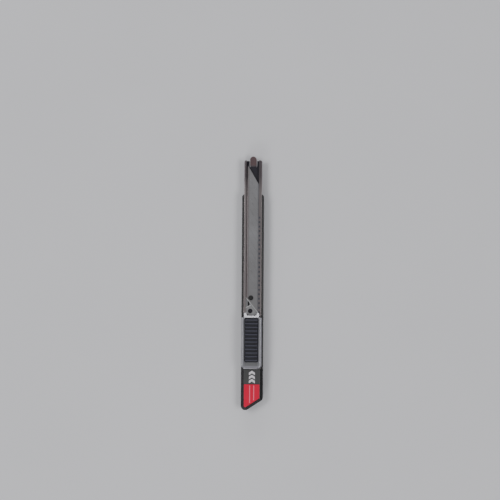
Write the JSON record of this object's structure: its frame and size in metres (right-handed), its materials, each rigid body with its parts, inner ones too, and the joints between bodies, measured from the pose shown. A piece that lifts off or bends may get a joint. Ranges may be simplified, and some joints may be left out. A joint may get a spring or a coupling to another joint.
{
  "type": "utility knife",
  "caption": "Slim snap-off utility knife: steeply pointed scored blade in a notched steel sheath, die-cast body, auto-locking thumb slider and slanted push-on end cap.",
  "frame": {"origin": "middle of the knife's box, on the face of the back that it rests on", "axes": "+X along the knife towards the blade's tip, +Z out of the side with the thumb slider, +Y towards the blade's cutting edge"},
  "size_m": [0.141, 0.0122, 0.0093],
  "materials": {
    "body_paint": "satin",
    "sheath_steel": "satin",
    "blade_steel": "fine ground",
    "holder_steel": "satin",
    "stud_black": "blackened",
    "spring_steel": "satin",
    "rivet_steel": "satin",
    "slider_metal": "satin",
    "grip_rubber": "matte",
    "cam_plastic": "matte",
    "cap_plastic": "satin",
    "label_red": "gloss"
  },
  "bodies": {
    "handle": {"body_shell": "body_paint", "sheath": "sheath_steel", "sheath_rivets": "rivet_steel"},
    "end_cap": {"end_cap": "cap_plastic", "cap_label": "label_red"},
    "carriage": {"blade_holder": "holder_steel", "blade_stud": "stud_black", "blade": "blade_steel", "spring_rivets": "rivet_steel"},
    "lock_leaf": {"lock_spring": "spring_steel"},
    "thumb_slider": {"slider_frame": "slider_metal", "slider_grip": "grip_rubber", "slider_cam": "cam_plastic", "slider_pins": "rivet_steel"}
  },
  "joints": [
    {"name": "carriage_slide", "type": "slide", "parent": "handle", "child": "carriage", "axis": [1, 0, 0], "range_m": [0, 0.06]},
    {"name": "slider_shift", "type": "slide", "parent": "carriage", "child": "thumb_slider", "axis": [1, 0, 0], "range_m": [0, 0.0008], "stiffness_N_per_m": 1500},
    {"name": "lock_flex", "type": "hinge", "parent": "carriage", "child": "lock_leaf", "pos_m": [-0.038, 0, 0.00495], "axis": [0, 1, 0], "range_deg": [0, 2.39]},
    {"name": "cap_pull", "type": "slide", "parent": "handle", "child": "end_cap", "axis": [-1, 0, 0], "range_m": [0, 0.014]}
  ],
  "couplings": [
    {"joint": "lock_flex", "follows": "slider_shift", "rad_per_m": 52.083}
  ]
}
